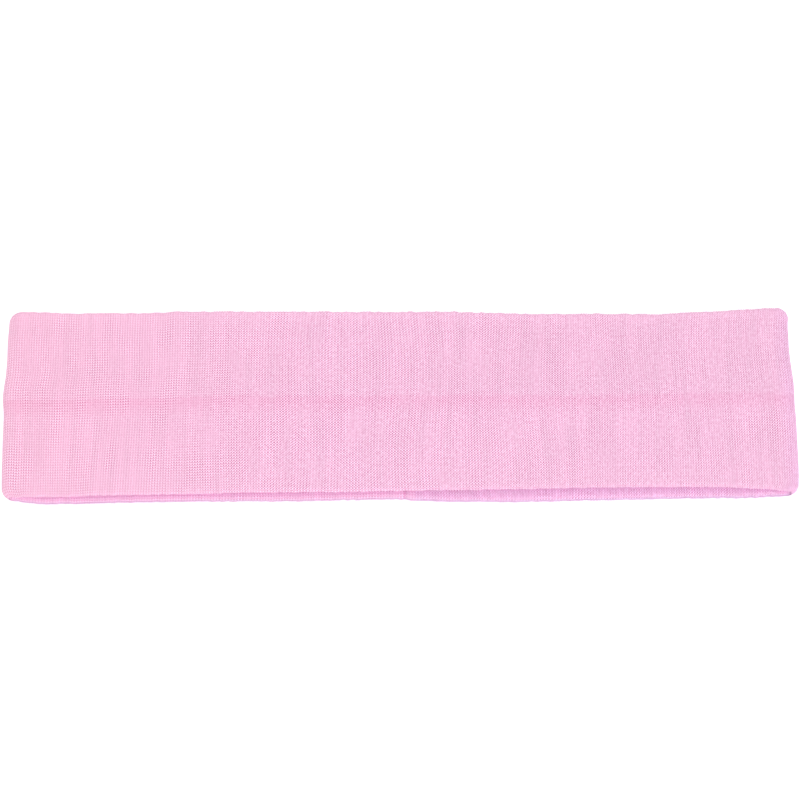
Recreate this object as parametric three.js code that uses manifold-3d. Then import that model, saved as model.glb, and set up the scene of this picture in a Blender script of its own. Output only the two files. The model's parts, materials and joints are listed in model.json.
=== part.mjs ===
// Sports headband: a wide loop of doubled knit, stored flat.
//
// A long strip of knit is folded lengthwise into a flat tube, closed by a long seam that runs down the
// middle of the inner face, and the two ends of the tube are sewn together at the middle of the back half.
// The loop lies flat: the back half is on the table and the front half lies on it, with a fold at each end.
//
// The loop is flexible, so it is cut into links that hinge on the middle surface of the knit. Each link is a
// length of the flat tube. From the back centre two chains of links run out to the right and to the left,
// up through a short fold link, and back along the front half, where they meet at the front centre.
//
// Millimetres, +Z up. X runs along the flat band, Y across its width. The origin is the middle of the
// underside, a little to the left of the sewn join.

import * as THREE from "three";
import { mergeVertices } from "three/addons/utils/BufferGeometryUtils.js";
import Module from "manifold-3d";

// ---- driving dimensions ----
const FLAT_LENGTH = 240; // overall length of the flat band
const BAND_WIDTH = 60; // across the band
const LAYER = 1.0; // one layer of knit
const LAYER_GAP = 0.4; // between the two layers of the tube
const HALF_GAP = 0.8; // between the back half and the front half, inside the loop
const LINKS_PER_QUARTER = 5; // full links between a centre and a fold
const OPEN_BEND = 8; // degrees of mitre at a link's end: two of them make the bend of a round loop
const END_CLEARANCE = 0.15; // each link stops this far from its hinge line
const FOLD_CLEARANCE = 0.21; // the same at the two hinges of a fold
const JOIN_X = 1.5; // the sewn join lies this far to the right of the middle
const JOIN_GAP = 0.5; // each end of the tube stops this far from the join
const SEAM_WIDTH = 0.6; // the long seam's furrow on the inner face
const SEAM_DEPTH = 0.4;
const ALLOWANCE_LENGTH = 5.0; // the turned-in ends of the tube, beside the join
const ALLOWANCE_THICKNESS = 0.5;
const THREAD = 0.36; // diameter of the sewing thread
const STITCH_PITCH = 3.0;

// ---- derived ----
const BAND_THICKNESS = 2 * LAYER + LAYER_GAP; // the flat tube
const HALF_THICKNESS = BAND_THICKNESS / 2;
const FOLD_X = FLAT_LENGTH / 2 - HALF_THICKNESS; // the fold's hinge lines
const PITCH = FOLD_X / (LINKS_PER_QUARTER + 0.5); // length of one link
const FOLD_LENGTH = BAND_THICKNESS + HALF_GAP; // middle surface to middle surface
const BEYOND = HALF_THICKNESS + 0.1; // how far a link's cutting outline stands past its faces

const radians = (degrees) => (degrees * Math.PI) / 180;

const wasm = await Module();
wasm.setup();

// A closed three.js geometry as a solid that can be cut.
function solidOf(geometry) {
  const bare = geometry.index ? geometry.toNonIndexed() : geometry.clone();
  bare.deleteAttribute("normal");
  bare.deleteAttribute("uv");
  const merged = mergeVertices(bare, 1e-4);
  return new wasm.Manifold(
    new wasm.Mesh({
      numProp: 3,
      vertProperties: new Float32Array(merged.getAttribute("position").array),
      triVerts: new Uint32Array(merged.index.array),
    }),
  );
}

// And back to a geometry with flat faces.
function geometryOf(solid) {
  const mesh = solid.getMesh();
  const points = new Float32Array(mesh.numVert * 3);
  for (let i = 0; i < mesh.numVert; i++)
    points.set(
      mesh.vertProperties.subarray(i * mesh.numProp, i * mesh.numProp + 3),
      i * 3,
    );
  const indexed = new THREE.BufferGeometry()
    .setAttribute("position", new THREE.BufferAttribute(points, 3))
    .setIndex(new THREE.BufferAttribute(new Uint32Array(mesh.triVerts), 1));
  const geometry = indexed.toNonIndexed();
  geometry.computeVertexNormals();
  return geometry;
}

// A long outline with round ends, width along its first axis.
function stadium(path, width, height, steps) {
  const r = height / 2,
    a = width / 2 - r;
  for (let i = 0; i <= steps; i++) {
    const t = -Math.PI / 2 + (Math.PI * i) / steps;
    const p = [a + r * Math.cos(t), r * Math.sin(t)];
    i ? path.lineTo(...p) : path.moveTo(...p);
  }
  for (let i = 0; i <= steps; i++) {
    const t = Math.PI / 2 + (Math.PI * i) / steps;
    path.lineTo(-a + r * Math.cos(t), r * Math.sin(t));
  }
  path.closePath();
  return path;
}

// The flat tube along +X from 0 to length. Its inner face looks along +Z, its middle surface is z = 0.
function tube(length) {
  const outline = stadium(new THREE.Shape(), BAND_WIDTH, BAND_THICKNESS, 8);
  outline.holes.push(
    stadium(new THREE.Path(), BAND_WIDTH - 2 * LAYER, LAYER_GAP, 4),
  );
  const geometry = new THREE.ExtrudeGeometry(outline, {
    depth: length,
    bevelEnabled: false,
  });
  geometry.applyMatrix4(
    new THREE.Matrix4().makeBasis(
      new THREE.Vector3(0, 1, 0),
      new THREE.Vector3(0, 0, 1),
      new THREE.Vector3(1, 0, 0),
    ),
  );
  return solidOf(geometry);
}

// A prism right across the band, from an outline in X and Z.
function across(points) {
  const outline = new THREE.Shape(points.map((p) => new THREE.Vector2(...p)));
  const depth = BAND_WIDTH + 20;
  const geometry = new THREE.ExtrudeGeometry(outline, {
    depth,
    bevelEnabled: false,
  });
  geometry.applyMatrix4(
    new THREE.Matrix4().makeBasis(
      new THREE.Vector3(1, 0, 0),
      new THREE.Vector3(0, 0, 1),
      new THREE.Vector3(0, -1, 0),
    ),
  );
  geometry.translate(0, depth / 2, 0);
  return solidOf(geometry);
}

function block(x0, x1, y0, y1, z0, z1) {
  const geometry = new THREE.BoxGeometry(x1 - x0, y1 - y0, z1 - z0);
  geometry.translate((x0 + x1) / 2, (y0 + y1) / 2, (z0 + z1) / 2);
  return solidOf(geometry);
}

// A length of the flat tube between two hinge lines, at x = 0 and x = length. Its ends are square on the
// outer side and mitred on the inner side, so that neighbours never meet as the loop bends.
// An end is { gap, mitre }: its distance from the hinge line, and the mitre in degrees.
function link(length, start, end) {
  const cut = (e) => BEYOND * Math.tan(radians(e.mitre));
  const outline = [
    [start.gap, -BEYOND],
    [length - end.gap, -BEYOND],
    [length - end.gap, 0],
    [length - end.gap - cut(end), BEYOND],
    [start.gap + cut(start), BEYOND],
    [start.gap, 0],
  ];
  const furrow = block(
    -1,
    length + 1,
    -SEAM_WIDTH / 2,
    SEAM_WIDTH / 2,
    HALF_THICKNESS - SEAM_DEPTH,
    HALF_THICKNESS + 1,
  );
  return tube(length).intersect(across(outline)).subtract(furrow);
}

const BEND = { gap: END_CLEARANCE, mitre: OPEN_BEND };
const FOLD = { gap: FOLD_CLEARANCE, mitre: 45 };
const BUTT = { gap: END_CLEARANCE, mitre: 0 };
const JOIN = { gap: JOIN_GAP, mitre: 0 };

// ---- materials ----
const knit = new THREE.MeshStandardMaterial({
  color: new THREE.Color(0.95, 0.6, 0.77),
  roughness: 0.92,
  metalness: 0,
});
const knitInside = new THREE.MeshStandardMaterial({
  color: new THREE.Color(0.92, 0.56, 0.74),
  roughness: 0.95,
  metalness: 0,
});
const sewingThread = new THREE.MeshStandardMaterial({
  color: new THREE.Color(0.93, 0.52, 0.72),
  roughness: 0.6,
  metalness: 0,
});

function piece(name, solid, material) {
  const mesh = new THREE.Mesh(geometryOf(solid), material);
  mesh.name = name;
  return mesh;
}

// ---- the loop ----
const headband = new THREE.Group();

// One side of the loop, as nested groups: each group's origin is a hinge line, its X runs along the band
// away from the back centre, and its Z looks into the loop.
function side(label) {
  const first = new THREE.Group();
  let here = first;
  const add = (name, length, start, end) => {
    here.add(piece(name, link(length, start, end), knit));
  };
  const next = (length, bend) => {
    const group = new THREE.Group();
    group.position.x = length;
    group.rotation.y = -radians(bend);
    here.add(group);
    here = group;
  };
  for (let i = 1; i <= LINKS_PER_QUARTER; i++) {
    add(
      `band_back_${label}_${i}`,
      PITCH,
      BEND,
      i === LINKS_PER_QUARTER ? FOLD : BEND,
    );
    next(PITCH, i === LINKS_PER_QUARTER ? 90 : 0);
  }
  add(`band_fold_${label}`, FOLD_LENGTH, FOLD, FOLD);
  next(FOLD_LENGTH, 90);
  for (let i = LINKS_PER_QUARTER; i >= 1; i--) {
    add(
      `band_front_${label}_${i}`,
      PITCH,
      i === LINKS_PER_QUARTER ? FOLD : BEND,
      BEND,
    );
    next(PITCH, 0);
  }
  add(`band_front_centre_${label}`, PITCH / 2, BEND, BUTT);
  return first;
}

const rightSide = side("right");
rightSide.position.set(PITCH / 2, 0, HALF_THICKNESS);
headband.add(rightSide);

const leftSide = side("left");
leftSide.position.set(-PITCH / 2, 0, HALF_THICKNESS);
leftSide.rotation.z = Math.PI;
headband.add(leftSide);

// ---- the back centre, where the two ends of the tube are sewn together ----
// Each end of the tube opens a little wider beside the join, to hold its turned-in allowance.
function sewnEnd(length) {
  const pocket = block(
    -1,
    JOIN_GAP + ALLOWANCE_LENGTH + 0.6,
    -BAND_WIDTH / 2 + 2 * LAYER,
    BAND_WIDTH / 2 - 2 * LAYER,
    -ALLOWANCE_THICKNESS / 2 - 0.3,
    ALLOWANCE_THICKNESS / 2 + 0.3,
  );
  return link(length, JOIN, BEND).subtract(pocket);
}

function allowance() {
  return block(
    JOIN_GAP + 0.1,
    JOIN_GAP + 0.1 + ALLOWANCE_LENGTH,
    -BAND_WIDTH / 2 + 2.4 * LAYER,
    BAND_WIDTH / 2 - 2.4 * LAYER,
    -ALLOWANCE_THICKNESS / 2,
    ALLOWANCE_THICKNESS / 2,
  );
}

const backCentre = new THREE.Group();
backCentre.position.set(JOIN_X, 0, HALF_THICKNESS);
headband.add(backCentre);
for (const [label, turn, length] of [
  ["right", 0, PITCH / 2 - JOIN_X],
  ["left", Math.PI, PITCH / 2 + JOIN_X],
]) {
  const half = new THREE.Group();
  half.rotation.z = turn;
  half.add(piece(`band_back_centre_${label}`, sewnEnd(length), knit));
  half.add(piece(`join_allowance_${label}`, allowance(), knitInside));
  backCentre.add(half);
}

// The row of stitches that closes the join: one thread that weaves down and up through both layers.
class StitchLine extends THREE.Curve {
  getPoint(t, target = new THREE.Vector3()) {
    const half = BAND_WIDTH / 2 - 2.2;
    const y = -half + 2 * half * t;
    return target.set(
      0,
      y,
      (HALF_THICKNESS - THREAD / 2 - 0.06) *
        Math.cos((2 * Math.PI * y) / STITCH_PITCH),
    );
  }
}
const threadSection = new THREE.Shape();
for (let i = 0; i <= 8; i++) {
  const t = (2 * Math.PI * i) / 8;
  const p = [(THREAD / 2) * Math.cos(t), (THREAD / 2) * Math.sin(t)];
  i ? threadSection.lineTo(...p) : threadSection.moveTo(...p);
}
const thread = new THREE.ExtrudeGeometry(threadSection, {
  extrudePath: new StitchLine(),
  steps: 150,
  bevelEnabled: false,
});
backCentre.add(piece("join_stitches", solidOf(thread), sewingThread));

export default headband;
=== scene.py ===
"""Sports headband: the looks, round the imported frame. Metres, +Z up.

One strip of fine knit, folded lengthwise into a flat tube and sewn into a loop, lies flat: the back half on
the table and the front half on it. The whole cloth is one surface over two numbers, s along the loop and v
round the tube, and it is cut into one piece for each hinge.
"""

import json
import math

import bpy
import numpy as np
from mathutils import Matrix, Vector


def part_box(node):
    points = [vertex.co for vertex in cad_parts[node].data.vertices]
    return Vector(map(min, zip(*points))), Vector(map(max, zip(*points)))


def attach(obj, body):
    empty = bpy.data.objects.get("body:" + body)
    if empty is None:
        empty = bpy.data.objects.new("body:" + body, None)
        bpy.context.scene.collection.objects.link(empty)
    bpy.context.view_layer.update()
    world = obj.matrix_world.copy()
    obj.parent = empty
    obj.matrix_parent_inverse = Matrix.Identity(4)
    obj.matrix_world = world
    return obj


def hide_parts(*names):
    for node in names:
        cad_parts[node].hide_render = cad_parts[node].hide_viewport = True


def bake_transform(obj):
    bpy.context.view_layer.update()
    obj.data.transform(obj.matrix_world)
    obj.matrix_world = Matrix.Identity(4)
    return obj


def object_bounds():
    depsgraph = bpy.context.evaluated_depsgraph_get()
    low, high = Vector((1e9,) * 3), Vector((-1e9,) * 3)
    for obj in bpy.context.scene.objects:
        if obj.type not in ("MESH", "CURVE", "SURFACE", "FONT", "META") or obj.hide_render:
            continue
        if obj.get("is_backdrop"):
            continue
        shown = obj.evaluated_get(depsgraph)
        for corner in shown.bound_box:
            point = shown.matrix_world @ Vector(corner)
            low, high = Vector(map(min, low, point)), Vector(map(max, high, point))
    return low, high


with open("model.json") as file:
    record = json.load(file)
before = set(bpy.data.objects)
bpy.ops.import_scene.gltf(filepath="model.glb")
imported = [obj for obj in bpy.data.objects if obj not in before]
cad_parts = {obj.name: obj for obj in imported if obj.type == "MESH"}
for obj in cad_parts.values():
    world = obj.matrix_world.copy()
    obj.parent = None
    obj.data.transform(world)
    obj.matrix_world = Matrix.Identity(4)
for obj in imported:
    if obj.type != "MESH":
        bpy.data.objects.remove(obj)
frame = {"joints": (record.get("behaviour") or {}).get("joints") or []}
cad_lo, cad_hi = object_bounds()
scene = bpy.context.scene
rng = np.random.default_rng(559)
MM = 0.001

# ---------------------------------------------------------------------------------------------------------
# Sizes, all from the frame
# ---------------------------------------------------------------------------------------------------------
hinge = {j["name"]: Vector(j["pos_m"]) for j in frame["joints"]}
joint_of = {j["name"]: j for j in frame["joints"]}
link_lo, link_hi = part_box("band_back_right_2")
top_lo, top_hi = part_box("band_front_right_2")
HALF_LENGTH = cad_hi.x  # the flat band's half length
HALF_WIDTH = link_hi.y
TUBE = link_hi.z - link_lo.z  # thickness of the flat tube
EDGE = TUBE / 2  # radius of its long edges
ZL = link_lo.z + EDGE  # middle surface of the back half
ZU = top_lo.z + EDGE  # middle surface of the front half
FOLD_R = (ZU - ZL) / 2
FOLD_Z = (ZU + ZL) / 2
FOLD_C = HALF_LENGTH - FOLD_R - EDGE  # where the folds' arcs begin
STEP = hinge["bend_back_right_2"].x - hinge["loop_open"].x  # from hinge to hinge
stitch_lo, stitch_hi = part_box("join_stitches")
JOIN_X = (stitch_lo.x + stitch_hi.x) / 2
LOOP = 4 * FOLD_C + 2 * math.pi * FOLD_R
FLAT = HALF_WIDTH - EDGE
ROUND = 4 * FLAT + 2 * math.pi * EDGE  # once round the tube
WALE = 0.82 * MM  # one rib of the knit, in the cloth's own numbers
COURSE = ROUND / 148
RIB = 0.11 * MM  # how far a rib stands out
COLUMNS = 6  # of the mesh, in each rib


def smooth(t):
    t = np.clip(t, 0.0, 1.0)
    return t * t * (3 - 2 * t)


def bell(t, width):
    return np.exp(-((t / width) ** 2))


# ---------------------------------------------------------------------------------------------------------
# Places along the loop
# ---------------------------------------------------------------------------------------------------------
ARC = math.pi * FOLD_R
S_FOLD_R, S_TOP, S_FOLD_L, S_BACK = (
    FOLD_C,
    FOLD_C + ARC,
    3 * FOLD_C + ARC,
    3 * FOLD_C + 2 * ARC,
)


def back_s(x):
    """The place along the loop of x on the back half."""
    return x % LOOP


def front_s(x):
    return S_TOP + FOLD_C - x


def along(stations, spread=3.0 * MM):
    """A smooth number along the loop from (x in mm, value in mm) on the back half and on the front half."""
    back, front = stations
    s = [float(back_s(x * MM)) for x, _ in back] + [float(front_s(x * MM)) for x, _ in front]
    value = [y * MM for _, y in back] + [y * MM for _, y in front]
    order = np.argsort(s)
    fine = np.linspace(0, LOOP, 4801)[:-1]
    y = np.interp(fine, np.array(s)[order], np.array(value)[order], period=LOOP)
    k = np.exp(-((np.arange(-200, 201) * (LOOP / 4800) / spread) ** 2))
    k /= k.sum()
    y = np.convolve(np.concatenate([y[-200:], y, y[:200]]), k, "valid")

    def at(s):
        return np.interp(np.mod(s, LOOP), fine, y, period=LOOP)

    return at


# The width of one rib, in mm, at places along the back half and the front half.
PITCH = along(
    (
        [(-112, 0.78), (-60, 0.82), (0, 0.86), (60, 0.82), (112, 0.78)],
        [(112, 0.765), (66, 0.765), (51, 0.81), (37, 0.82), (22, 0.85), (7, 0.90), (-7, 0.94)]
        + [(-22, 0.92), (-37, 0.90), (-51, 0.80), (-66, 0.78), (-80, 0.745), (-112, 0.745)],
    ),
    6.0 * MM,
)
fine_s = np.linspace(0, 2 * LOOP, 19201)
middle_s = np.mod((fine_s[1:] + fine_s[:-1]) / 2, LOOP)
in_fold = sum(smooth((ARC / 2 + 0.4 * MM - np.abs(middle_s - c)) / (0.8 * MM)) for c in (S_FOLD_R + ARC / 2, S_FOLD_L + ARC / 2))
fine_ribs = np.concatenate([[0], np.cumsum(np.diff(fine_s) / PITCH(middle_s) * (1 + 0.7 * in_fold))])
SPLIT = JOIN_X + 3 * MM  # where the count of ribs begins


def u_at(s):
    """The cloth's own number along the loop at s."""
    return float(np.interp(s, fine_s, fine_ribs) - np.interp(SPLIT, fine_s, fine_ribs)) * WALE


U_MIDDLE = u_at(S_TOP + FOLD_C)
U_HALF = u_at(S_FOLD_L) - U_MIDDLE
U_RIGHT = u_at(S_FOLD_R + ARC / 2)
V_MIDDLE = ROUND / 2


# ---------------------------------------------------------------------------------------------------------
# The camera, floor and light
# ---------------------------------------------------------------------------------------------------------
ELEVATION = math.radians(67.0)
DISTANCE = 1.02
AIM = Vector((0.0, 0.0010, 0.0028))
camera = bpy.data.objects.new("camera", bpy.data.cameras.new("camera"))
scene.collection.objects.link(camera)
camera.data.sensor_width = 36
camera.data.lens = 151.1
camera.location = AIM + DISTANCE * Vector((0, -math.cos(ELEVATION), math.sin(ELEVATION)))
camera.rotation_euler = (math.pi / 2 - ELEVATION, 0, 0)
camera.data.clip_start, camera.data.clip_end = 0.01, 20
scene.camera = camera

world = bpy.data.worlds.new("studio")
scene.world = world
world.use_nodes = True
world.node_tree.nodes["Background"].inputs["Color"].default_value = (1.0, 1.0, 1.0, 1)
world.node_tree.nodes["Background"].inputs["Strength"].default_value = 0.70
scene.view_settings.view_transform = "Standard"


def area_light(name, place, target, size, power, colour):
    data = bpy.data.lights.new(name, "AREA")
    data.shape, data.size, data.energy, data.color = "DISK", size, power, colour
    o = bpy.data.objects.new(name, data)
    o.location = place
    o.rotation_euler = (Vector(target) - Vector(place)).to_track_quat("-Z", "Y").to_euler()
    scene.collection.objects.link(o)
    return o


area_light("key", (-0.55, 1.0, 1.05), (0, 0, 0), 0.9, 7.5, (1.0, 0.975, 0.945))
area_light("front", (0.25, -1.0, 0.95), (0, 0, 0), 1.0, 12.5, (0.97, 0.97, 1.0))
area_light("side", (1.3, 0.1, 0.3), (0, 0, 0), 0.6, 2.3, (0.76, 0.72, 1.0))


def new_mesh(name, points, faces, materials=(), uv=None, normals=None, index=None):
    """A mesh object from numpy arrays: quads as corner numbers, uv for each corner."""
    mesh = bpy.data.meshes.new(name)
    faces = np.asarray(faces, np.int32)
    n, k = faces.shape
    mesh.vertices.add(len(points))
    mesh.vertices.foreach_set("co", np.asarray(points, np.float32).ravel())
    mesh.loops.add(n * k)
    mesh.loops.foreach_set("vertex_index", faces.ravel())
    mesh.polygons.add(n)
    mesh.polygons.foreach_set("loop_start", np.arange(0, n * k, k, dtype=np.int32))
    mesh.polygons.foreach_set("use_smooth", np.ones(n, bool))
    for m in materials:
        mesh.materials.append(m)
    if index is not None:
        mesh.polygons.foreach_set("material_index", np.asarray(index, np.int32))
    if uv is not None:
        layer = mesh.uv_layers.new(name="cloth")
        layer.uv.foreach_set("vector", np.asarray(uv, np.float32).ravel())
    mesh.update(calc_edges=True)
    mesh.validate()
    if normals is not None:
        mesh.normals_split_custom_set_from_vertices(
            [tuple(map(float, v)) for v in normals]
        )
    o = bpy.data.objects.new(name, mesh)
    scene.collection.objects.link(o)
    return o


# ---------------------------------------------------------------------------------------------------------
# Materials
# ---------------------------------------------------------------------------------------------------------
class Nodes:
    """Short names for building a material's node tree."""

    def __init__(self, name):
        self.material = bpy.data.materials.new(name)
        self.material.use_nodes = True
        self.tree = self.material.node_tree
        self.shader = self.tree.nodes["Principled BSDF"]

    def node(self, kind, **settings):
        n = self.tree.nodes.new(kind)
        for key, value in settings.items():
            setattr(n, key, value)
        return n

    def put(self, socket, value):
        if isinstance(value, bpy.types.NodeSocket):
            self.tree.links.new(value, socket)
        else:
            socket.default_value = value

    def math(self, operation, *values):
        n = self.node("ShaderNodeMath", operation=operation)
        for i, v in enumerate(values):
            self.put(n.inputs[i], v)
        return n.outputs[0]

    def vector(self, operation, *values):
        n = self.node("ShaderNodeVectorMath", operation=operation)
        for i, v in enumerate(values):
            self.put(n.inputs["Scale"] if operation == "SCALE" and i else n.inputs[i], v)
        return n.outputs[0]

    def noise(self, vector, scale, detail=2.0, roughness=0.5):
        n = self.node("ShaderNodeTexNoise")
        self.put(n.inputs["Vector"], vector)
        n.inputs["Scale"].default_value = scale
        n.inputs["Detail"].default_value = detail
        n.inputs["Roughness"].default_value = roughness
        return n

    def span(self, value, low, high, to_low, to_high):
        n = self.node("ShaderNodeMapRange")
        self.put(n.inputs["Value"], value)
        for name, v in (
            ("From Min", low),
            ("From Max", high),
            ("To Min", to_low),
            ("To Max", to_high),
        ):
            n.inputs[name].default_value = v
        return n.outputs[0]

    def mix(self, factor, a, b, blend="MIX"):
        n = self.node("ShaderNodeMix", data_type="RGBA", blend_type=blend)
        self.put(n.inputs[0], factor)
        self.put(n.inputs[6], a)
        self.put(n.inputs[7], b)
        return n.outputs[2]


def knit_material(name, light, deep, shade):
    """Fine jersey: ribs of small V stitches, one leg of each V the plainer, with a matt fuzzy bloom."""
    m = Nodes(name)
    uv = m.node("ShaderNodeUVMap", uv_map="cloth").outputs[0]
    wander = m.noise(uv, 40.0, 2.0, 0.4).outputs["Color"]
    wander = m.vector("SCALE", m.vector("SUBTRACT", wander, (0.5, 0.5, 0.5)), 1.2 * MM)
    jitter = m.noise(uv, 420.0, 1.0, 0.5).outputs["Color"]
    jitter = m.vector("SCALE", m.vector("SUBTRACT", jitter, (0.5, 0.5, 0.5)), 0.16 * MM)
    place = m.node("ShaderNodeSeparateXYZ")
    m.put(place.inputs[0], m.vector("ADD", m.vector("ADD", uv, wander), jitter))
    straight = m.node("ShaderNodeSeparateXYZ")
    m.put(straight.inputs[0], m.vector("ADD", uv, jitter))
    # the knit is stretched a little more in the middle of the front, where its stitches stand staggered
    off = m.math("SUBTRACT", straight.outputs[0], U_MIDDLE)
    to_left = m.span(off, 30 * MM, 68 * MM, 1.0, 0.0)
    stagger = m.math("MULTIPLY", to_left, m.span(off, -96 * MM, -26 * MM, 0.85, 1.0))
    strength = m.math("MULTIPLY", to_left, m.span(off, -80 * MM, -34 * MM, 0.36, 1.0))
    # some ribs are drawn tighter than others
    streak = m.noise(m.vector("MULTIPLY", uv, (300.0, 50.0, 1.0)), 1.0, 2.0, 0.5).outputs[0]
    patch = m.noise(m.vector("MULTIPLY", uv, (130.0, 90.0, 1.0)), 1.0, 2.0, 0.5).outputs[0]
    tight = m.math("MULTIPLY", m.span(streak, 0.30, 0.70, 0.35, 1.55), m.span(patch, 0.34, 0.66, 0.45, 1.50))
    # the far edge is smoother
    far = m.math("ABSOLUTE", m.math("SUBTRACT", straight.outputs[1], FLAT + 1.9 * MM))
    tight = m.math("MULTIPLY", tight, m.span(far, 0.6 * MM, 4.5 * MM, 0.30, 1.0))
    a = m.math("DIVIDE", straight.outputs[0], WALE)
    b = m.math("DIVIDE", place.outputs[1], COURSE)
    turn = m.math("MULTIPLY", a, 2 * math.pi)
    across = m.math("COSINE", turn)  # 1 in the groove between two ribs, -1 on the rib
    band = m.noise(m.vector("MULTIPLY", uv, (170.0, 45.0, 2.0)), 1.0, 1.0, 0.5).outputs[0]
    lean = m.math("MULTIPLY", m.math("SINE", turn), m.span(band, 0.36, 0.56, -0.05, 1.15))
    slope = m.math("MULTIPLY_ADD", stagger, 0.13, 0.25)
    phase = m.math("ADD", b, m.math("MULTIPLY", across, slope))
    wave = m.math("COSINE", m.math("MULTIPLY", phase, 2 * math.pi))
    # one leg of each stitch shows more than the other
    leg = m.math("MULTIPLY_ADD", lean, m.math("MULTIPLY", stagger, 0.9), 1.0)
    depth = m.math("MULTIPLY", m.math("MULTIPLY", leg, tight), m.math("MULTIPLY_ADD", strength, 0.27, 0.225))
    yarn = m.math("MULTIPLY", wave, depth)
    # partly painted shade: the tone is darker in the grooves between ribs and the gaps between stitches, partly the
    # yarn's own colour and partly the shade that falls in these gaps
    rib = m.math("MULTIPLY", across, m.math("MULTIPLY", tight, m.span(off, -80 * MM, -34 * MM, 0.117, 0.133)))
    tone = m.math("ADD", m.math("SUBTRACT", yarn, rib), 0.55)
    own = m.noise(uv, 1000.0, 1.0, 0.5).outputs[0]
    tone = m.math("ADD", tone, m.math("MULTIPLY", m.span(own, 0.25, 0.75, -1, 1), m.math("MULTIPLY_ADD", to_left, 0.07, 0.05)))
    base = m.mix(m.span(tone, 0.0, 1.0, 0.0, 1.0), deep, light)
    mottle = m.noise(uv, 110.0, 3.0, 0.55).outputs[0]
    drawn = m.noise(m.vector("MULTIPLY", uv, (430.0, 34.0, 3.0)), 1.0, 1.0, 0.5).outputs[0]
    factor = m.math("MULTIPLY", m.span(mottle, 0.3, 0.7, 0.985, 1.015), m.span(drawn, 0.3, 0.7, 0.965, 1.035))
    # painted shade: a faint darker band just below the middle of the outer face, where the step over the long seam
    # slopes toward the front, away from the light
    below = m.math("SUBTRACT", place.outputs[1], V_MIDDLE + 0.3 * MM)
    line = m.math("MULTIPLY", m.span(below, 0.4 * MM, 5.0 * MM, 1.0, 0.0), m.span(below, -1.8 * MM, -0.4 * MM, 0.0, 1.0))
    # painted light: paler towards the far edge, where the rounded edge catches the light from behind
    factor = m.math("MULTIPLY", factor, m.span(straight.outputs[1], FLAT + 1.5 * MM, FLAT + 9 * MM, 1.05, 1.0))
    base = m.vector("SCALE", base, factor)
    base = m.mix(line, base, m.vector("MULTIPLY", base, (0.975, 0.90, 0.93)))
    # painted light: a little warmer to the left, the colour a warm lamp on that side gives
    base = m.mix(m.span(off, 15 * MM, 115 * MM, 0.0, 1.0), base, m.vector("MULTIPLY", base, (1.03, 1.0, 0.975)))
    # painted shade: the inner face, which shows as the strip along the near edge, is tinted cooler and more lilac, as
    # shaded cloth there looks
    off_middle = m.math("ABSOLUTE", m.math("SUBTRACT", straight.outputs[1], V_MIDDLE))
    inner = m.span(off_middle, V_MIDDLE - FLAT - 2.2 * MM, V_MIDDLE - FLAT, 0.0, 1.0)
    base = m.mix(inner, base, m.vector("MULTIPLY", base, (1.03, 1.0, 1.10)))
    # painted shade: a darker, greyer line along the back half's near long edge, where it turns down toward the table,
    # away from the light
    side = m.math("ABSOLUTE", m.math("SUBTRACT", straight.outputs[1], 3 * FLAT + 1.5 * math.pi * EDGE - 0.2 * MM))
    side = m.math("MULTIPLY", m.span(side, 0.5 * MM, 1.4 * MM, 1.0, 0.0), m.span(m.math("ABSOLUTE", off), U_HALF + 5 * MM, U_HALF + 10 * MM, 0.0, 1.0))
    base = m.mix(side, base, m.vector("MULTIPLY", base, (0.76, 0.84, 0.90)))
    # painted shade: a slightly cooler lilac tint round the right-hand fold, as the shaded end looks
    end = m.math("ABSOLUTE", m.math("SUBTRACT", straight.outputs[0], U_RIGHT))
    base = m.mix(m.span(end, 3.5 * MM, 7.5 * MM, 1.0, 0.0), base, m.vector("MULTIPLY", base, (0.97, 0.96, 1.0)))
    m.put(m.shader.inputs["Base Color"], base)
    height = m.math("SUBTRACT", m.math("MULTIPLY", wave, 0.22), m.math("MULTIPLY", across, 0.26))
    height = m.math("ADD", height, 0.5)
    m.put(m.shader.inputs["Roughness"], m.span(height, 0.0, 1.0, 0.95, 0.82))
    bump = m.node("ShaderNodeBump")
    bump.inputs["Strength"].default_value = 0.7
    bump.inputs["Distance"].default_value = 0.16 * MM
    m.put(bump.inputs["Height"], height)
    m.put(m.shader.inputs["Normal"], bump.outputs[0])
    m.shader.inputs["Specular IOR Level"].default_value = 0.15
    m.shader.inputs["Sheen Weight"].default_value = 0.25
    m.shader.inputs["Sheen Roughness"].default_value = 0.5
    m.shader.inputs["Sheen Tint"].default_value = shade
    return m.material


KNIT = knit_material("knit_jersey", (0.96, 0.71, 0.885, 1), (0.52, 0.125, 0.28, 1), (1.0, 0.86, 0.95, 1))
# painted shade: a darker copy of the knit, for the faces in the join's furrow, where shade falls
KNIT_FURROW_SHADE = knit_material("knit_join_furrow_painted_shade", (0.90, 0.50, 0.74, 1), (0.48, 0.10, 0.24, 1), (1.0, 0.86, 0.95, 1))
KNIT_IN = knit_material("knit_turned_in", (0.92, 0.66, 0.84, 1), (0.55, 0.21, 0.36, 1), (1.0, 0.84, 0.93, 1))


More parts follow.
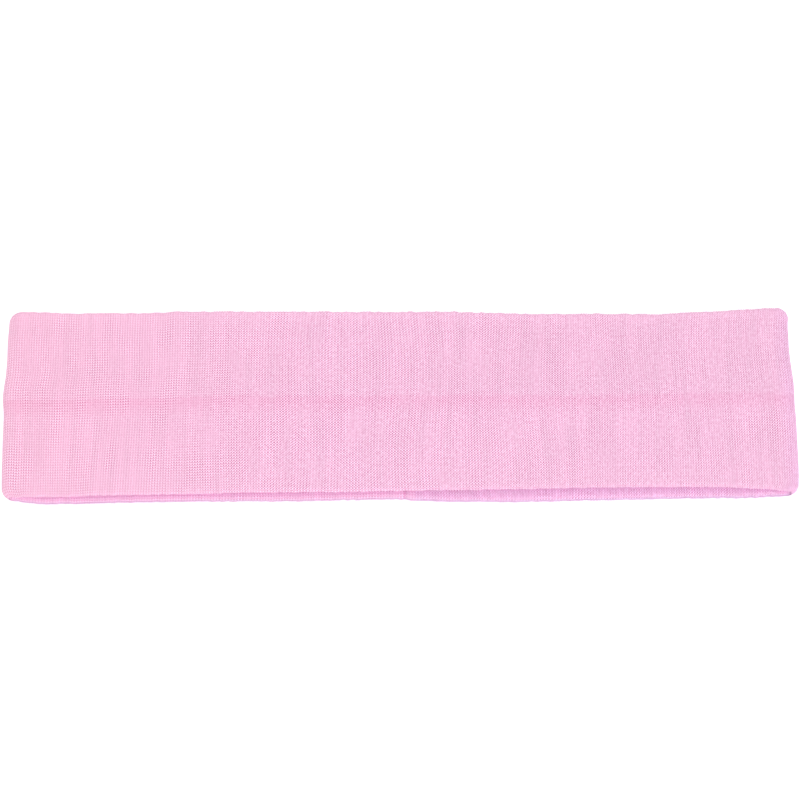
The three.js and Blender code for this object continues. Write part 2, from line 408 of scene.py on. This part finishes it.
def thread_material():
    m = Nodes("sewing_thread")
    uv = m.node("ShaderNodeUVMap", uv_map="cloth").outputs[0]
    part = m.node("ShaderNodeSeparateXYZ")
    m.put(part.inputs[0], uv)
    ply = m.math("ADD", m.math("DIVIDE", part.outputs[0], 0.55 * MM), m.math("MULTIPLY", part.outputs[1], 2.0))
    twist = m.math("MULTIPLY_ADD", m.math("COSINE", m.math("MULTIPLY", ply, 2 * math.pi)), 0.5, 0.5)
    fibre = m.noise(uv, 3000.0, 2.0, 0.6).outputs[0]
    base = m.mix(twist, (0.68, 0.32, 0.50, 1), (0.92, 0.54, 0.74, 1))
    m.put(m.shader.inputs["Base Color"], m.vector("SCALE", base, m.span(fibre, 0.3, 0.7, 0.92, 1.08)))
    m.put(m.shader.inputs["Roughness"], m.span(twist, 0, 1, 0.75, 0.55))
    bump = m.node("ShaderNodeBump")
    bump.inputs["Strength"].default_value = 0.7
    bump.inputs["Distance"].default_value = 0.05 * MM
    m.put(bump.inputs["Height"], twist)
    m.put(m.shader.inputs["Normal"], bump.outputs[0])
    m.shader.inputs["Sheen Weight"].default_value = 0.15
    return m.material


THREAD = thread_material()


def floor_material():
    m = Nodes("floor_pale")
    grain = m.noise(m.node("ShaderNodeTexCoord").outputs["Object"], 3.0, 2.0, 0.5).outputs[0]
    m.put(m.shader.inputs["Base Color"], m.mix(grain, (0.94, 0.94, 0.94, 1), (0.95, 0.95, 0.95, 1)))
    m.shader.inputs["Emission Color"].default_value = (1, 1, 1, 1)
    m.shader.inputs["Emission Strength"].default_value = 0.28
    m.shader.inputs["Roughness"].default_value = 0.9
    m.shader.inputs["Specular IOR Level"].default_value = 0.1
    return m.material


floor = new_mesh(
    "floor",
    [(-4, -4, -0.0002), (4, -4, -0.0002), (4, 4, -0.0002), (-4, 4, -0.0002)],
    [(0, 1, 2, 3)],
    [floor_material()],
)
floor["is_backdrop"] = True

# ---------------------------------------------------------------------------------------------------------
# The cloth as one surface
# ---------------------------------------------------------------------------------------------------------
def path(s):
    """The middle surface of the loop at s: x, z, and the outward direction's x and z."""
    s = np.mod(s, LOOP)
    right = np.clip((s - S_FOLD_R) / FOLD_R, 0, math.pi)
    left = np.clip((s - S_FOLD_L) / FOLD_R, 0, math.pi)
    turn = -math.pi / 2 + right + left
    x = np.select(
        [s < S_FOLD_R, s < S_TOP, s < S_FOLD_L, s < S_BACK],
        [
            s,
            FOLD_C + FOLD_R * np.cos(turn),
            FOLD_C - (s - S_TOP),
            -FOLD_C + FOLD_R * np.cos(turn),
        ],
        -FOLD_C + (s - S_BACK),
    )
    z = FOLD_Z + FOLD_R * np.sin(turn)
    return x, z, np.cos(turn), np.sin(turn)


def section(v):
    """Once round the flat tube from the long seam: y, distance outward, and the surface's direction in both."""
    v = np.mod(v, ROUND)
    half = math.pi * EDGE
    a = np.clip((v - FLAT) / EDGE, 0, math.pi)
    b = np.clip((v - (3 * FLAT + half)) / EDGE, 0, math.pi)
    turn = a + b  # 0 on the inner face, pi on the outer face, 2 pi on the inner face again
    y = np.select(
        [v < FLAT, v < FLAT + half, v < 3 * FLAT + half, v < 3 * FLAT + 2 * half],
        [v, FLAT + EDGE * np.sin(turn), 2 * FLAT + half - v, -FLAT + EDGE * np.sin(turn)],
        v - ROUND,
    )
    h = -EDGE * np.cos(turn)
    return y, h, np.sin(turn), -np.cos(turn)


def waves(count, s_cycles, v_cycles, seed):
    """A smooth wander over the cloth that closes on itself both ways, about 1 at its strongest."""
    r = np.random.default_rng(seed)
    terms = [
        (int(r.integers(1, s_cycles + 1)), int(r.integers(-v_cycles, v_cycles + 1)), r.uniform(0, 2 * math.pi), r.uniform(0.5, 1))
        for _ in range(count)
    ]
    total = math.sqrt(sum(t[3] ** 2 for t in terms) / 2)

    def at(s, v):
        out = 0.0
        for m, n, phi, size in terms:
            out = out + size * np.sin(2 * math.pi * (m * s / LOOP + n * v / ROUND) + phi)
        return out / (2.2 * total)

    return at


wander = waves(14, 9, 2, 11)
lift = waves(14, 14, 3, 23)
puff = waves(16, 26, 4, 37)
sway_top = waves(40, 190, 0, 41)
sway_low = waves(40, 190, 0, 43)


# How far the cloth's far and near long edges stand from the straight band, in mm, at places along it.
FAR = along(
    (
        [(-112, -0.6), (-80, -0.8), (-40, -0.4), (0, -0.5), (40, -1.0), (80, -1.1), (96, -0.3), (112, 0.4)],
        [(117, 0.9), (112, 0.86), (104, 0.38), (96, -0.15), (88, -0.4), (80, -1.1), (56, -0.96), (41, -1.04)]
        + [(33, -0.73), (25, -0.55), (17, -0.2), (0, -0.3), (-15, -0.29), (-30, -0.2), (-46, -0.18), (-62, -0.27)]
        + [(-70, -0.4), (-78, -0.75), (-85, -0.8), (-93, -0.72), (-101, -0.94), (-109, -0.46), (-117, -0.4)],
    )
)
NEAR = along(
    (
        [(-117, -1.2), (-109, -2.35), (-101, -2.24), (-93, -2.16), (-85, -1.8), (-78, -1.73), (-70, -1.59)]
        + [(-62, -1.49), (-46, -1.37), (-30, -1.35), (-22, -1.1), (-15, -0.96), (-7, -0.77), (1, -0.78), (9, -1.3)]
        + [(17, -1.5), (25, -1.5), (33, -1.55), (41, -1.48), (48, -1.25), (64, -0.96), (80, -0.53), (96, -0.3)]
        + [(104, -0.3), (112, 0.05), (117, 0.4)],
        [(117, 0.6), (112, 1.4), (104, 1.85), (96, 2.12), (88, 2.2), (80, 2.16), (64, 2.05), (48, 1.8), (33, 1.35)]
        + [(17, 1.13), (0, 0.98), (-15, 0.6), (-30, 0.42), (-46, 0.43), (-62, -0.08), (-70, -0.2), (-78, -0.3)]
        + [(-85, -0.47), (-93, -0.68), (-101, -1.02), (-109, -1.1), (-117, -1.2)],
    )
)
# How far each folded end stands in from a straight end, in mm, at places across it, and the corners' rounding.
END_RIGHT = (
    [-30, -20, -12, -5, 0, 1.3, 2.6, 6.3, 10, 13.8, 17.5, 21, 24, 26, 27.5, 30],
    [0.0, 0.0, 0.0, 0.05, 0.45, 0.5, 0.45, 0.5, 0.81, 1.05, 1.18, 1.16, 1.15, 0.95, 0.7, 0.4],
)
END_LEFT = (
    [-30, -25, -20, -12, -4, 1, 3.3, 6, 9.5, 14.4, 18, 20.5, 24, 26.5, 30],
    [0.2, 0.2, 0.15, 0.0, -0.06, -0.27, -0.33, -0.13, 0.18, 0.19, 0.09, 0.06, 0.15, 0.1, 0.1],
)
CORNER = 3.0 * MM


def cloth(s, v, wale):
    """Points of the cloth. s and v are arrays of one shape, and wale counts the ribs."""
    join = np.mod(s - JOIN_X + LOOP / 2, LOOP) - LOOP / 2  # distance from the join, along the loop
    from_fold = np.minimum(np.abs(np.mod(s, LOOP) - S_FOLD_R - ARC / 2), np.abs(np.mod(s, LOOP) - S_FOLD_L - ARC / 2))
    s_used = s + 0.75 * MM * wander(s, v) * (1 - bell(join, 9 * MM)) * smooth((from_fold - 4 * MM) / (12 * MM))
    x, z, nx, nz = path(s_used)
    y0, h, ny, nh = section(v)
    across = y0 / HALF_WIDTH
    outward = (h / EDGE + 1) / 2  # 1 on the tube's outer face, 0 on its inner face
    outer = smooth((nh + 1) / 2)  # 1 on the outer face, 0 on the inner
    front = smooth((z - ZL) / (ZU - ZL))
    flatness = 1 - np.abs(nx)  # 0 half way round a fold
    # the tube thins a little towards its long edges, and is not equally full everywhere
    shoulder = 1 - 0.16 * smooth((np.abs(y0) - 21 * MM) / (FLAT - 21 * MM)) * (np.abs(nh)) * outer
    # and its inner faces are nearly closed on each other along the edges
    near_end = 1 - smooth((HALF_LENGTH - np.abs(x)) / (14 * MM))
    closed = (0.10 + 0.16 * near_end) * smooth((np.abs(y0) - 18 * MM) / (9 * MM)) * (1 - outer) * flatness
    h = h + nh * closed * MM
    h = h * shoulder + nh * 0.10 * MM * puff(s, v) * flatness * outer * front
    # the long seam: its turned-in edges lie behind it, so the outer face has a step along the middle
    step = smooth((y0 + 3.2 * MM) / (4.6 * MM)) * (1 - smooth((y0 - 3 * MM) / (16 * MM)))
    h = h + nh * outer * 0.38 * MM * step * (0.25 + 0.75 * front)
    seam = bell(y0, 0.28 * MM) * (1 - outer)
    beside = (bell(np.abs(y0) - 1.1 * MM, 0.7 * MM)) * (1 - outer)
    tight = 0.5 + 0.5 * np.cos(2 * math.pi * wale / 3.0)
    h = h + (seam * (0.34 + 0.16 * tight) - beside * 0.08 * tight) * MM * (0.3 + 0.7 * flatness)
    # the sewn join across the back
    dip = bell(join, 0.28 * MM)
    crest = bell(np.abs(join) - 1.15 * MM, 0.75 * MM)
    pull = 0.5 + 0.5 * np.cos(2 * math.pi * y0 / (3 * MM))
    h_join = (1 - 0.9 * smooth((np.abs(y0) - FLAT) / EDGE)) * (-dip * (0.26 + 0.10 * pull) + crest * (0.07 + 0.05 * (1 - pull)))
    # ribs
    squeeze = np.clip((FOLD_R + h * np.abs(nx)) / FOLD_R, 0.12, 1.0)
    groove = np.abs(np.sin(math.pi * wale)) ** 0.75
    rib = RIB * (groove - 0.55) * squeeze * (1 - dip) * (1 + 0.9 * smooth((np.abs(y0) - FLAT) / EDGE))
    off = rib + h_join * MM
    y = y0 + off * ny
    h = h + off * nh
    # the edges wander
    near, far = NEAR(s), FAR(s)
    mid = smooth((across + 1) / 2)
    y = y + near * (1 - mid) + far * mid
    y = y + 0.15 * MM * (sway_low(s, v * 0) * (1 - mid) + sway_top(s, v * 0) * mid)
    slip = -0.10 * MM * smooth(join / (0.5 * MM)) * bell(np.maximum(join, 0), 14 * MM)
    y = y + slip * (1 - mid)
    # the folded ends
    inward = np.where(x > 0, np.interp(y0 / MM, *END_RIGHT), np.interp(y0 / MM, *END_LEFT)) * MM
    x = x - np.sign(x) * inward * outward * smooth((np.abs(x) - 0.45 * HALF_LENGTH) / (0.55 * HALF_LENGTH))
    past = np.clip(np.abs(y0) - (HALF_WIDTH - CORNER), 0, CORNER * 0.995)
    corner = CORNER - np.sqrt(CORNER**2 - past**2)
    x = x - np.sign(x) * corner * outward * smooth((np.abs(x) - HALF_LENGTH + 10 * MM) / (9 * MM))
    # the front half rises and falls a little on the back half, most at its edges
    rise = front * (0.10 + 0.16 * lift(s, y0) - 0.42 * (1 - bell(y0, 7 * MM)))
    rise = rise * smooth((HALF_LENGTH - np.abs(x)) / (14 * MM))
    px, pz = x + h * nx, z + h * nz + rise * MM
    pz = 0.5 * (pz + np.sqrt(pz * pz + (0.06 * MM) ** 2))  # nothing goes through the table
    return np.stack([px, y, pz], -1)


# Rows round the tube: close together at the long seam and round the edges.
near_seam = np.array([0, 0.14, 0.28, 0.45, 0.7, 1.0, 1.4, 1.9, 2.6]) * MM
inner = np.concatenate([near_seam, np.linspace(2.6 * MM, FLAT, 22)[1:]])
edge = np.linspace(0, math.pi * EDGE, 9)[1:]
outer_rows = np.linspace(0, 2 * FLAT, 49)[1:]
rows = np.concatenate(
    [
        inner,
        FLAT + edge,
        FLAT + math.pi * EDGE + outer_rows,
        3 * FLAT + math.pi * EDGE + edge,
        ROUND - inner[::-1][1:],
    ]
)[:-1]
R = len(rows)

# Columns along the loop. Each cut is (its place along the loop, ribs from the cut before it).
cuts = []  # (name, s0, s1, ribs)


def piece(name, joint, s0, s1, start, end, nodes):
    cuts.append(
        {
            "name": name,
            "joint": joint,
            "s0": s0,
            "s1": s1,
            "ribs": round(float(np.diff(np.interp([s0, s1], fine_s, fine_ribs))[0])),
            "start": start,
            "end": end,
            "nodes": nodes,
        }
    )


ZONE = 10.4 * MM  # on each side of a hinge
ZONE_JOIN = 6.0 * MM


def straight(x, z, sign, zone):
    """A blend across the hinge at x, from the side nearer the loop's back centre, where sign is its direction."""
    return (x - sign * zone, 0, z), (x + sign * zone, 0, z)


first = hinge["loop_open"].x
for side, g in (("right", 1), ("left", -1)):
    lower = []
    names = ["loop_open" if g > 0 else "bend_back_left_1"] + [
        f"bend_back_{side}_{i}" for i in range(2, 6)
    ]
    for i, joint in enumerate(names):
        x = g * (first + i * STEP)
        inner_x = g * i * STEP if i else SPLIT
        outer_x = g * (i + 1) * STEP
        nodes = [f"band_back_{side}_{i + 1}"]
        if i == 0:
            nodes += [f"band_back_centre_{side}"]
        lower.append((f"knit_back_{side}_{i + 1}", joint, inner_x, outer_x, *straight(x, ZL, g, ZONE if i else ZONE_JOIN), nodes))
    upper = []
    names = [f"bend_front_{side}_{i}" for i in range(4, 0, -1)] + [f"bend_front_centre_{side}"]
    for i, joint in enumerate(names):
        k = 4 - i
        x = g * (first + k * STEP)
        nodes = [f"band_front_{side}_{k}" if k else f"band_front_centre_{side}"]
        upper.append((f"knit_front_{side}_{k + 1}", joint, g * (k + 1) * STEP, g * k * STEP, *straight(x, ZU, -g, ZONE), nodes))
    fx = hinge[f"unfold_back_{side}"].x
    # each half of the fold turns from the end of its straight part to the middle of the fold
    fold_x, fold_z = FOLD_C + FOLD_R - EDGE - 0.057 * MM, 0.082 * MM
    turn_x, turn_z = fold_x - 0.956 * MM, fold_z + 1.365 * MM
    fold_low = (
        f"knit_fold_{side}_lower",
        f"unfold_back_{side}",
        (g * turn_x, 0, FOLD_Z - turn_z),
        (g * fold_x, 0, FOLD_Z - fold_z),
    )
    fold_top = (
        f"knit_fold_{side}_upper",
        f"unfold_front_{side}",
        (g * fold_x, 0, FOLD_Z + fold_z),
        (g * turn_x, 0, FOLD_Z + turn_z),
    )
    middle_s = S_FOLD_R + ARC / 2 if g > 0 else S_FOLD_L + ARC / 2
    # in order of s, which runs out along the right side and back along the left side
    out = []
    for name, joint, x0, x1, start, end, nodes in lower:
        out.append((name, joint, x0, x1, start, end, nodes, "back"))
    if g > 0:
        for name, joint, x0, x1, start, end, nodes, _ in out:
            piece(name, joint, x0, x1, start, end, nodes)
        piece(fold_low[0], fold_low[1], 5 * STEP, middle_s, fold_low[2], fold_low[3], [f"band_fold_{side}"])
        piece(fold_top[0], fold_top[1], middle_s, float(front_s(5 * STEP)), fold_top[2], fold_top[3], [f"band_front_{side}_5"])
        for name, joint, x0, x1, start, end, nodes in upper:
            piece(name, joint, float(front_s(x0)), float(front_s(x1)), start, end, nodes)
    else:
        for name, joint, x0, x1, start, end, nodes in upper[::-1]:
            piece(name, joint, float(front_s(x1)), float(front_s(x0)), start, end, nodes)
        piece(fold_top[0], fold_top[1], float(front_s(-5 * STEP)), middle_s, fold_top[2], fold_top[3], [f"band_front_{side}_5"])
        piece(fold_low[0], fold_low[1], middle_s, LOOP - 5 * STEP, fold_low[2], fold_low[3], [f"band_fold_{side}"])
        for name, joint, x0, x1, start, end, nodes, _ in out[::-1]:
            s0, s1 = LOOP + x1, LOOP + x0
            piece(name, joint, s0, s1, start, end, nodes)

# the whole loop's columns, from the first cut round to it again
s_all, wale_all, first_column = [], [], []
count = 0
for c in cuts:
    n = c["ribs"] * COLUMNS
    t = np.arange(n) / n
    first_column.append(len(s_all))
    r0, r1 = np.interp([c["s0"], c["s1"]], fine_s, fine_ribs)
    s_all += list(np.interp(r0 + (r1 - r0) * t, fine_ribs, fine_s))
    wale_all += list(count + c["ribs"] * t)
    count += c["ribs"]
first_column.append(len(s_all))
s_all, wale_all = np.array(s_all), np.array(wale_all)
C = len(s_all)
S, V = np.meshgrid(s_all, rows, indexing="ij")
W = np.repeat(wale_all[:, None], R, 1)
POINTS = cloth(S, V, W)
du = np.roll(POINTS, -1, 0) - np.roll(POINTS, 1, 0)
dv = np.roll(POINTS, -1, 1) - np.roll(POINTS, 1, 1)
NORMALS = np.cross(du, dv)
NORMALS /= np.maximum(np.linalg.norm(NORMALS, axis=-1, keepdims=True), 1e-12)
x0, z0, nx0, nz0 = path(S)
_, _, ny0, nh0 = section(V)
facing = (NORMALS * np.stack([nh0 * nx0, ny0, nh0 * nz0], -1)).sum(-1)
FLIP = facing.mean() < 0
if FLIP:
    NORMALS = -NORMALS

row_next = (np.arange(R) + 1) % R
v_uv = np.concatenate([rows, [ROUND]])
made = []
for k, c in enumerate(cuts):
    lo, hi = first_column[k], first_column[k + 1]
    columns = np.arange(lo, hi + 1) % C
    n = len(columns)
    points = POINTS[columns].reshape(-1, 3)
    normals = NORMALS[columns].reshape(-1, 3)
    i, j = np.meshgrid(np.arange(n - 1), np.arange(R), indexing="ij")
    i, j = i.ravel(), j.ravel()
    corner = [i * R + j, (i + 1) * R + j, (i + 1) * R + row_next[j], i * R + row_next[j]]
    u = (lo + np.arange(n)) / COLUMNS * WALE
    uv = [np.stack([u[i], v_uv[j]], -1), np.stack([u[i + 1], v_uv[j]], -1), np.stack([u[i + 1], v_uv[j + 1]], -1), np.stack([u[i], v_uv[j + 1]], -1)]
    if FLIP:
        corner, uv = corner[::-1], uv[::-1]
    faces = np.stack(corner, -1)
    s_face = np.where(s_all[columns[i]] > LOOP, s_all[columns[i]] - LOOP, s_all[columns[i]])
    # the faces in the join's furrow get the darker copy of the knit: painted shade
    furrow = np.abs(s_face + 0.07 * MM - JOIN_X) < 0.24 * MM
    skins = [KNIT, KNIT_FURROW_SHADE] if furrow.any() else [KNIT]
    o = new_mesh(c["name"], points, faces, skins, np.stack(uv, 1).reshape(-1, 2), normals, furrow.astype(int))
    j = joint_of[c["joint"]]
    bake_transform(o)
    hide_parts(*c["nodes"])
    c["object"] = o
    made.append(o)


def allowance(side, g):
    """A turned-in end of the tube, inside it beside the join: a narrow strip of the same knit with raw edges."""
    lo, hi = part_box(f"join_allowance_{side}")
    ribs = max(2, round((hi.x - lo.x) / WALE))
    a = np.linspace(lo.x, hi.x, ribs * COLUMNS + 1)
    b = np.linspace(lo.y, hi.y, 41)
    A, B = np.meshgrid(a, b, indexing="ij")
    half = (hi.z - lo.z) / 2
    zc = (hi.z + lo.z) / 2
    ridge = 0.05 * MM * np.abs(np.sin(math.pi * (A - lo.x) / (hi.x - lo.x) * ribs))
    wave = 0.05 * MM * np.sin(B / (4.1 * MM)) * np.sin((A - lo.x) / (hi.x - lo.x) * 2.2)
    pinch = np.minimum(smooth((A - lo.x) / (0.25 * MM)), smooth((hi.x - A) / (0.25 * MM)))
    pinch = np.minimum(pinch, np.minimum(smooth((B - lo.y) / (0.3 * MM) + 0.4), smooth((hi.y - B) / (0.3 * MM) + 0.4)))
    thick = (half - 0.07 * MM) * (0.35 + 0.65 * pinch)
    top = np.stack([A, B, zc + wave + thick + ridge * pinch - 0.02 * MM], -1)
    low = np.stack([A, B, zc + wave - thick - ridge * pinch + 0.02 * MM], -1)
    n, m = A.shape
    points = np.concatenate([top.reshape(-1, 3), low.reshape(-1, 3)])
    i, j = np.meshgrid(np.arange(n - 1), np.arange(m - 1), indexing="ij")
    i, j = i.ravel(), j.ravel()
    q = np.stack([i * m + j, (i + 1) * m + j, (i + 1) * m + j + 1, i * m + j + 1], -1)
    faces = [q, (q + n * m)[:, ::-1]]
    rim = []
    for i in range(n - 1):
        rim.append((i * m, n * m + i * m, n * m + (i + 1) * m, (i + 1) * m))
        rim.append(((i + 1) * m + m - 1, n * m + (i + 1) * m + m - 1, n * m + i * m + m - 1, i * m + m - 1))
    for j in range(m - 1):
        rim.append((j + 1, n * m + j + 1, n * m + j, j))
        rim.append(((n - 1) * m + j, n * m + (n - 1) * m + j, n * m + (n - 1) * m + j + 1, (n - 1) * m + j + 1))
    faces = np.concatenate(faces + [np.array(rim)])
    uv = points[faces.ravel()][:, :2] + 0.05
    o = new_mesh(f"knit_join_allowance_{side}", points, faces, [KNIT_IN], uv)
    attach(o, "back_centre")
    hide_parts(f"join_allowance_{side}")
    return o


turned_in = [allowance("left", -1), allowance("right", 1)]


def tube_mesh(line, radius, sides, taper=0.25):
    """A tube of thread along a line of points, with rounded ends. Returns points, faces and uv."""
    line = np.asarray(line, float)
    n = len(line)
    tangent = np.gradient(line, axis=0)
    tangent /= np.linalg.norm(tangent, axis=1, keepdims=True)
    up = np.array([0.0, 1.0, 0.0])
    side_dir = np.cross(tangent, up)
    weak = np.linalg.norm(side_dir, axis=1) < 1e-6
    side_dir[weak] = np.array([1.0, 0, 0])
    side_dir /= np.linalg.norm(side_dir, axis=1, keepdims=True)
    other = np.cross(side_dir, tangent)
    length = np.concatenate([[0], np.cumsum(np.linalg.norm(np.diff(line, axis=0), axis=1))])
    t = np.linspace(0, 2 * math.pi, sides, endpoint=False)
    size = np.full(n, radius)
    size[0] = size[-1] = radius * taper
    ring = line[:, None] + size[:, None, None] * (
        np.cos(t)[None, :, None] * side_dir[:, None] + np.sin(t)[None, :, None] * other[:, None]
    )
    points = np.concatenate([ring.reshape(-1, 3), line[:1], line[-1:]])
    faces, uv = [], []
    for i in range(n - 1):
        for j in range(sides):
            k = (j + 1) % sides
            faces.append((i * sides + j, i * sides + k, (i + 1) * sides + k, (i + 1) * sides + j))
            uv += [(length[i], j / sides), (length[i], (j + 1) / sides), (length[i + 1], (j + 1) / sides), (length[i + 1], j / sides)]
    a, b = n * sides, n * sides + 1
    caps = []
    for j in range(0, sides, 2):
        k, l = (j + 1) % sides, (j + 2) % sides
        caps.append((a, l, k, j))
        caps.append((b, (n - 1) * sides + j, (n - 1) * sides + k, (n - 1) * sides + l))
        uv += [(0, j / sides)] * 4 + [(length[-1], j / sides)] * 4
    return points, np.array(faces + caps), np.array(uv)


def surface_z(y, face):
    """Height of the cloth beside the join at y: face 1 is the inner face, on top, and -1 the outer face."""
    v = y % ROUND if face > 0 else 2 * FLAT + math.pi * EDGE - y
    w = np.interp(0.9 * MM + JOIN_X, s_all[: first_column[1]], wale_all[: first_column[1]])
    p = cloth(np.array([JOIN_X + 0.9 * MM]), np.array([v]), np.array([w]))
    return p[0, 2]


# One thread weaves through the join: a short bar across the furrow on one face, then on the other.
radius = 0.16 * MM
points, faces, uvs, at = [], [], [], 0
half = HALF_WIDTH - 2.4 * MM
ys = np.arange(-half, half + 1e-6, 1.5 * MM)
for k, y in enumerate(ys):
    face = 1 if k % 2 else -1
    top = surface_z(y, face)
    lean = 0.28 * MM
    line = []
    for t in np.linspace(-1, 1, 13):
        depth = 0.30 * MM * (abs(t) ** 3) + 0.10 * MM * (1 - t * t)
        z = max(top - face * (depth - 0.02 * MM), radius + 0.02 * MM)
        line.append((JOIN_X + 0.85 * MM * t, y + lean * t, z))
    p, f, u = tube_mesh(line, radius, 8)
    points.append(p)
    faces.append(f + at)
    uvs.append(u)
    at += len(p)
stitches = new_mesh("thread_join", np.concatenate(points), np.concatenate(faces), [THREAD], np.concatenate(uvs))
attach(stitches, "back_centre")
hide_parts("join_stitches")

# ---------------------------------------------------------------------------------------------------------
# Each piece of cloth, as cut
# ---------------------------------------------------------------------------------------------------------
for c in cuts:
    c["flat"] = (c["s1"] - c["s0"], ROUND)

lo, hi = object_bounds()
